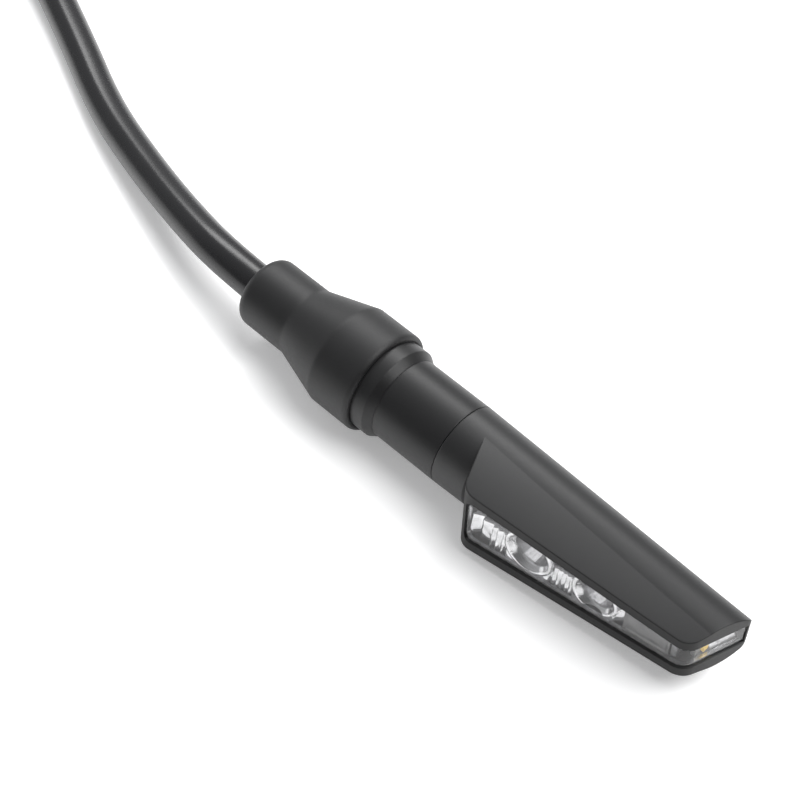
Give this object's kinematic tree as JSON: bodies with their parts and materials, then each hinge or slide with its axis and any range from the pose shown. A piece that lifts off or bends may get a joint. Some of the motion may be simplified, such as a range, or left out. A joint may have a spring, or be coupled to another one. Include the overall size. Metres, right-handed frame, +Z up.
{
  "type": "motorcycle turn signal",
  "caption": "Slim blade-shaped LED turn signal with a clear side lens, a turned stem on a hollow M8 stud, a rubber boot and a lead with a plug.",
  "frame": {"origin": "centre of the seat face that bears on the bracket, on the stem axis", "axes": "+X along the stem axis towards the tip of the head, -Y the way the side lens faces, +Z up"},
  "size_m": [0.2999, 0.0519, 0.0176],
  "materials": {
    "board": "solder resist",
    "boot": "matt moulded rubber",
    "cable": "smooth extruded sheath",
    "ceramic": "ceramic",
    "chip": "moulded",
    "chrome": "vacuum metallised",
    "housing": "satin black anodised",
    "led_amber": "moulded",
    "led_white": "moulded",
    "lens": "clear polished",
    "pins": "tinned",
    "plug": "moulded",
    "seal": "matt",
    "smoked": "smoked",
    "steel": "zinc plated",
    "stem": "satin black anodised",
    "wire_black": "insulation",
    "wire_orange": "insulation",
    "wire_white": "insulation"
  },
  "bodies": {
    "stem": {"mount_base": "stem", "stem_tube": "stem", "aim_lock_screw": "steel", "lock_washer": "steel", "fixing_nut": "steel", "rubber_boot": "boot", "wire_ground": "wire_black", "wire_signal": "wire_orange", "wire_running": "wire_white", "lead_cable": "cable", "plug_seal": "seal", "plug_shell": "plug", "plug_pins": "pins"},
    "head": {"head_housing": "housing", "clear_lens": "lens", "lens_seal": "seal", "side_reflector": "chrome", "side_led_1": "led_white", "side_led_2": "led_white", "side_board": "board", "smoked_panel": "smoked", "driver_chip": "chip", "chip_resistor": "ceramic", "tip_frame": "smoked", "tip_board": "board", "tip_led": "led_amber", "tip_reflector": "chrome", "head_seal_ring": "seal"}
  },
  "joints": [
    {"name": "head_aim", "type": "hinge", "parent": "stem", "child": "head", "pos_m": [0.0185, 0, 0], "axis": [1, 0, 0], "range_deg": [-45, 45]}
  ]
}
